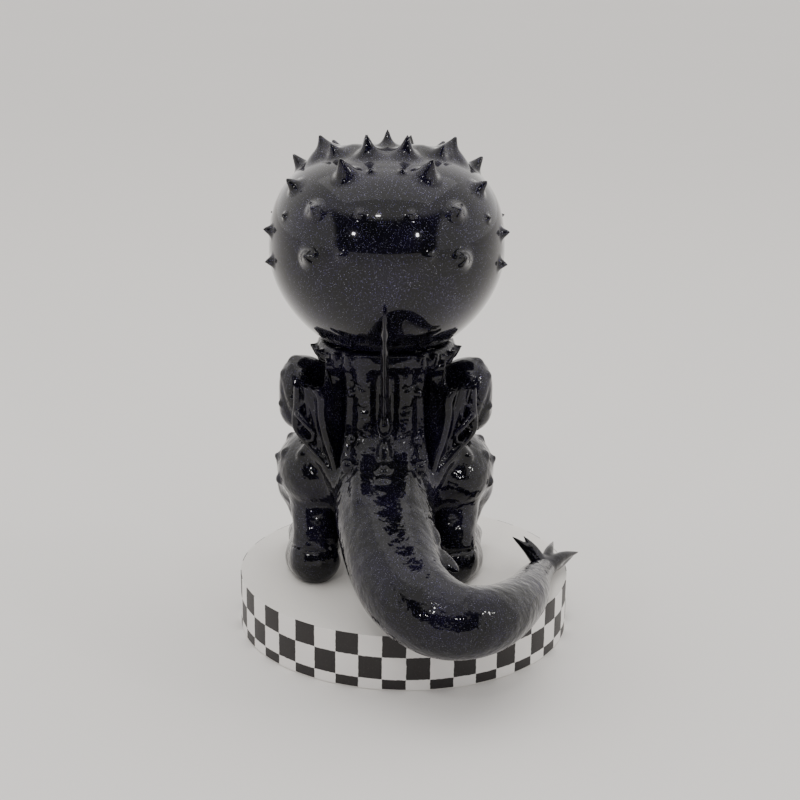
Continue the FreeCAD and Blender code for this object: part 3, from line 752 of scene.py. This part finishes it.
# ---- arms ----------------------------------------------------------------------------------
# One hollow casting each, cast with its three claws. A flat face at the shoulder lies against the
# trunk with a hairline gap, on a headed peg, so each arm swings about a level line across the figure.

SHOULDER_FACE = 14.3         # how far out the flat face lies
arm_clay = Clay((13, -30, 48), (32, 10, 79), 0.4)
arm_clay.press(bar([(21.2, -1.5, 67.6), (22.4, -1.0, 60.6)], [7.0, 5.8]), 1.0)
arm_clay.press(egg((23.4, -0.8, 66.0), (4.9, 7.4, 8.6)), 2.0)
arm_clay.press(bar([(22.4, -1.0, 60.6), (21.2, -13.0, 57.2), (20.4, -19.0, 57.8)], [5.7, 4.2, 4.5]), 2.0)
arm_clay.press(bar([(14.0, -1.5, 67.0), (18.3, -1.5, 67.0)], [6.0, 6.0]), 1.0)
arm_clay.soften(5)
for x, y, z, size in ((24.4, -1.0, 73.6, 1.5), (26.9, 0.8, 70.6, 1.2), (22.0, 4.6, 71.6, 1.3),
                      (27.6, 2.2, 62.6, 1.0), (24.6, 5.2, 65.0, 1.2)):
    arm_clay.press(egg((x, y, z), (size, size, size * 0.9)), 1.0)
arm_clay.carve(bar(curve([(27.6, -5.6, 63.0), (23.2, -6.9, 62.2), (17.0, -6.0, 62.6)], 8), [0.4] * 8), 1.0)
arm_clay.carve(bar(curve([(28.2, 3.4, 68.0), (26.6, 5.0, 63.2), (24.6, 4.6, 58.6)], 8), [0.35] * 8), 1.2)
for spread in (-3.0, 0.0, 3.0):
    knuckle = (20.4 + spread, -20.6, 57.6)
    finger = (20.4 + spread * 1.15, -23.6, 56.2)
    arm_clay.press(bar([knuckle, finger], [1.9, 1.6]), 0.8)
    arm_clay.press(bar([finger, (20.4 + spread * 1.3, -27.0, 54.4)], [1.25, 0.2]), 0.5)
arm_clay.trim(0, SHOULDER_FACE, 1)
for side, label in ((1.0, "left"), (-1.0, "right")):
    arm = arm_clay.skin("arm_" + label + "_skin", skin_lacquer, side)
    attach(arm, "arm_" + label + "_body")
    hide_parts("arm_" + label)


# ---- wings ---------------------------------------------------------------------------------
# Small folded wings, one thin casting each: a bony rim, a hollowed membrane and a curled claw.
# Each is glued to the back along its root and at its lower tip.

SLICES = 36                  # slices from the wing's top to its lower tip
HOLLOW = 2.4                 # how deep the membrane dips between its two rims
INNER_RIM = curve([(21.5, 13.0, 77.0), (19.0, 14.6, 72.6), (16.6, 15.4, 68.5), (16.4, 15.4, 63.3),
                   (15.2, 15.2, 57.5), (13.4, 15.6, 51.8), (12.3, 16.0, 47.2)], SLICES)
OUTER_RIM = curve([(21.5, 13.0, 77.0), (22.6, 12.2, 71.0), (22.9, 11.4, 65.3), (23.4, 11.0, 61.2),
                   (22.7, 11.4, 57.9), (17.8, 13.4, 52.5), (12.6, 15.4, 46.8)], SLICES)
ROOT = curve([(9.6, 10.2, 76.0), (9.8, 9.6, 72.0), (9.8, 9.0, 66.0), (9.8, 9.2, 60.0), (9.8, 10.4, 54.0),
              (9.8, 13.0, 50.0), (10.0, 15.0, 47.4)], SLICES)
wing_clay = Clay((7, 5, 44), (27, 19, 80), 0.3)

# KNOWN FAULT: the rims start in one place, so the first slice has no width and bar() gives no number
# there. The wing's top is left open, with stray faces from it to the origin. Starting at the second
# slice is the likely remedy, and it hasn't been tried.
for n, (inner, outer, root) in enumerate(zip(INNER_RIM, OUTER_RIM, ROOT)):
    dip = (inner + outer) / 2 + (0, -HOLLOW * math.sin(math.pi * n / (SLICES - 1)), 0)
    wing_clay.press(bar(curve([inner, dip, outer], 7), [0.62] * 7), 0.5)
    wing_clay.press(bar([root, inner], [0.8, 0.6]), 0.5)
wing_clay.soften(3)
wing_clay.press(bar(INNER_RIM, np.linspace(1.15, 0.75, SLICES)), 0.8)
wing_clay.press(bar(OUTER_RIM, np.linspace(1.15, 0.8, SLICES)), 0.8)
wing_arm = curve([(9.0, 9.6, 75.2), (15.0, 12.4, 76.4), (21.3, 12.9, 77.0)], 10)
wing_clay.press(bar(wing_arm, np.linspace(2.3, 1.3, 10)), 1.2)
for end in (12, 20, 27):
    halfway = (INNER_RIM[end] + OUTER_RIM[end]) / 2 + (0.4, -0.8, 2.0)
    vein = curve([(21.3, 13.0, 76.0), halfway, OUTER_RIM[end + 2]], 10)
    wing_clay.press(bar(vein, np.linspace(0.75, 0.45, 10)), 0.6)
hook = curve([(22.6, 12.4, 63.0), (20.4, 13.8, 60.6), (18.6, 14.2, 58.4), (18.9, 13.9, 56.4),
              (20.2, 13.4, 56.0)], 14)
wing_clay.press(bar(hook, np.linspace(1.0, 0.35, 14)), 0.6)
wing_clay.press(bar([(21.6, 13.0, 77.2), (22.6, 13.4, 78.6)], [1.1, 0.25]), 0.5)
for side, label in ((1.0, "left"), (-1.0, "right")):
    wing = wing_clay.skin("wing_" + label + "_skin", smooth_lacquer, side)
    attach(wing, "figure")
    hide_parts("wing_" + label)


# ---- blade on the back ---------------------------------------------------------------------
# A separate thin casting glued into a slot down the back. Its edges are drawn out sharp and its
# tip stands clear behind the head.

BLADE = np.array([          # depth and height of the outline's corners
    (13.0, 80.0), (19.2, 80.6), (23.6, 84.2), (27.2, 89.0), (29.8, 94.4), (31.0, 95.8),
    (31.0, 92.0), (28.6, 84.6), (25.0, 77.0), (21.6, 70.0), (19.0, 62.0), (13.0, 58.0)])


def blade_form():
    """Lens-shaped plate whose outline is BLADE."""
    def distance(x, y, z):
        away = np.full(np.broadcast(y, z).shape, 1e6)
        inside = np.zeros(away.shape, bool)
        for (ya, za), (yb, zb) in zip(BLADE, np.roll(BLADE, -1, 0)):
            dy, dz = yb - ya, zb - za
            t = np.clip(((y - ya) * dy + (z - za) * dz) / (dy * dy + dz * dz), 0, 1)
            away = np.minimum(away, np.hypot(y - ya - t * dy, z - za - t * dz))
            crosses = ((za > z) != (zb > z)) & (y < (z - za) * dy / (dz if dz else 1e-9) + ya)
            inside = inside ^ crosses
        depth = np.where(inside, away, -away)
        beads = 0.16 * np.sin(z * 1.15) * np.clip(depth, 0, 1)
        half = np.clip(0.28 + 0.42 * depth + beads, 0.12, 1.08)
        return np.maximum(np.abs(x) - half, -depth) + 0 * x

    return distance, (-2, 13, 58), (2, 31, 96)


blade_clay = Clay((-2.4, 11.5, 56), (2.4, 33, 98), 0.25)
blade_clay.press(blade_form(), 0.2)
blade_clay.soften(2)
blade = blade_clay.skin("back_blade", smooth_lacquer)
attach(blade, "figure")
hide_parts("dorsal_fin")


# ---- thorns at the tail's tip --------------------------------------------------------------
# Five pointed thorns cast on one small stub, which is glued into the open end of the tail.

THORN_ROOT = np.array((-43.4, 10.2, 19.0))
thorn_clay = Clay((-57, -9, 13), (-32, 15, 28), 0.25)
for tip, sag, thick in (((-35.1, 1.0, 24.6), 0.8, 1.9), ((-38.2, 1.6, 25.0), 0.8, 1.8),
                        ((-54.0, -3.0, 18.6), 1.0, 2.2), ((-53.4, -5.2, 17.4), -0.6, 2.0),
                        ((-47.0, -4.6, 21.0), 1.0, 1.9)):
    tip = np.array(tip)
    middle = (THORN_ROOT + tip) / 2 + (0, 0, sag)
    spine = curve([THORN_ROOT, middle, tip], 14)
    thorn_clay.press(bar(spine, thick * (1 - np.linspace(0, 1, 14) ** 1.4) + 0.12), 0.8)
thorn_clay.press(bar([(-42.3, 12.6, 19.2), (-44.0, 8.6, 18.9)], [2.3, 2.5]), 1.0)
thorns = thorn_clay.skin("tail_thorns", smooth_lacquer)
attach(thorns, "figure")
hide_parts("tail_tip_spikes")


# ---- eyes and hidden fittings --------------------------------------------------------------
# The eyes are separate gloss balls pressed into their sockets. The pegs, clips and plugs inside are
# grey moulded plastic, and the screws under the base are bright steel.

SLIT_SHIFT = 0.22            # how far outwards the slit stands, in radii of the ball


def eye_gloss(low, high):
    """Deep amber ball with an upright slit, darker round its rim."""
    material, tree, shader = new_material("eye_gloss", Roughness=0.06, IOR=1.38)
    here = place(tree)
    x, _, z = split(tree, here)
    radius = (high.z - low.z) / 2
    middle = (low.x + high.x) / 2
    across = (x - middle) / radius - math.copysign(SLIT_SHIFT, middle - CENTRE_X)
    upward = (z - (low.z + high.z) / 2) / radius
    reach = (across * across + upward * upward).root()
    slit = 1 - (across.absolute() + upward * upward * 0.16).step(0.10, 0.15)
    fibres = noise(tree, here, 1500.0, 3.0)
    iris = blend_colours(tree, fibres, (0.020, 0.007, 0.002, 1.0), (0.150, 0.050, 0.008, 1.0))
    rim = blend_colours(tree, reach.step(0.42, 0.72), iris, (0.004, 0.003, 0.005, 1.0))
    join(tree, shader, Base_Color=blend_colours(tree, slit, rim, (0.002, 0.002, 0.002, 1.0)))
    return material


def moulded_plastic():
    material, tree, shader = new_material("grey_moulded_plastic", Specular_IOR_Level=0.45)
    grain = noise(tree, place(tree), 1200.0, 2.0)
    colour = blend_colours(tree, grain, (0.16, 0.16, 0.165, 1.0), (0.20, 0.20, 0.205, 1.0))
    join(tree, shader, Base_Color=colour, Roughness=0.40 + 0.15 * grain)
    return material


def screw_steel():
    material, tree, shader = new_material("zinc_plated_steel", Metallic=1.0)
    grain = noise(tree, place(tree), 800.0, 3.0)
    colour = blend_colours(tree, grain, (0.50, 0.50, 0.49, 1.0), (0.66, 0.66, 0.64, 1.0))
    join(tree, shader, Base_Color=colour, Roughness=0.24 + 0.2 * grain)
    return material


def repaint(name, material):
    """Puts a material on a piece that keeps its drawn shape."""
    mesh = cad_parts[name].data
    mesh.materials.clear()
    mesh.materials.append(material)


plastic = moulded_plastic()
for name in ("neck_peg", "neck_retainer", "head_bearing_plate", "tail_plug"):
    repaint(name, plastic)
for side in ("left", "right"):
    for name in ("hip_plug_", "arm_peg_", "arm_clip_"):
        repaint(name + side, plastic)
    repaint("foot_block_" + side, skin_lacquer)
    repaint("eye_" + side, eye_gloss(*eye_boxes[side]))
repaint("base_screws", screw_steel())


# ---- camera, light and floor ---------------------------------------------------------------
# The object stands on a flat pale floor in a light tent that is open towards the camera.

scene = bpy.context.scene
LENS_MM = 73.07
CAMERA_PLACE = (0.0, 0.41585, 0.19373)
lens = bpy.data.cameras.new("camera")
lens.sensor_width = 36.0
lens.lens = LENS_MM
camera = bpy.data.objects.new("camera", lens)
right = Vector((-0.999923, -0.006928, 0.010306))
up = Vector((0.011908, -0.299358, 0.954067))
ahead = Vector((0.003524, -0.954116, -0.299417))
turn = Matrix((right, up, -ahead)).transposed().to_4x4()
camera.matrix_world = Matrix.Translation(CAMERA_PLACE) @ turn
scene.collection.objects.link(camera)
scene.camera = camera

FLOOR_SIZE = 12.0
FLOOR_GAP = 0.0001           # the floor lies this far below the base, so that the two don't coincide
bpy.ops.mesh.primitive_plane_add(size=FLOOR_SIZE, location=(0, 0, -FLOOR_GAP))
floor = bpy.context.object
floor.name = "pale_floor"
paper, paper_tree, paper_shader = new_material("pale_paper", Roughness=0.75)
paper_cloud = noise(paper_tree, place(paper_tree), 3.0)
join(paper_tree, paper_shader, Base_Color=blend_colours(
    paper_tree, paper_cloud, (0.80, 0.785, 0.765, 1.0), (0.82, 0.805, 0.785, 1.0)))
floor.data.materials.append(paper)


def panel(name, place_at, target, size, power, tint=(1.0, 0.98, 0.96)):
    """Soft rectangular light that faces a point."""
    light = bpy.data.lights.new(name, "AREA")
    light.shape = "RECTANGLE"
    light.size, light.size_y = size
    light.energy = power
    light.color = tint
    lamp = bpy.data.objects.new(name, light)
    lamp.location = place_at
    lamp.rotation_euler = (Vector(target) - Vector(place_at)).to_track_quat("-Z", "Y").to_euler()
    lamp.visible_camera = False
    scene.collection.objects.link(lamp)


panel("tent_roof", (0, -0.10, 0.70), (0, 0, 0.05), (0.9, 0.7), 1.2)
panel("lamp_left", (0.405, 0.649, 0.334), (0, 0, 0.09), (0.035, 0.035), 0.48)
panel("lamp_right", (-0.38, 0.66, 0.33), (0, 0, 0.09), (0.03, 0.05), 0.48)
panel("lamp_above", (0.10, 0.55, 0.62), (0, 0, 0.09), (0.05, 0.03), 0.40)
panel("lamp_side", (-0.75, 0.25, 0.45), (0, 0, 0.09), (0.05, 0.05), 0.50)

SKY_STRENGTH = 1.28
world = bpy.data.worlds.new("studio")
scene.world = world
world.use_nodes = True
sky = world.node_tree
backdrop = sky.nodes["Background"]
direction = node(sky, "ShaderNodeTexCoord", output="Generated")
sideways, back, rise = split(sky, direction)
# the tent's open side shows the darker room
below_roof = 1 - rise.step(0.55, 0.70)
between_walls = 1 - sideways.absolute().step(0.72, 0.80)
toward_room = back.step(0.16, 0.26) * below_roof * between_walls
sky_colour = blend_colours(sky, toward_room, (1.0, 0.975, 0.95, 1.0), (0.055, 0.055, 0.070, 1.0))
seen = node(sky, "ShaderNodeLightPath", output="Is Camera Ray")
sky_colour = blend_colours(sky, seen, sky_colour, (0.52, 0.51, 0.50, 1.0))
sky.links.new(sky_colour.socket, backdrop.inputs["Color"])
backdrop.inputs["Strength"].default_value = SKY_STRENGTH
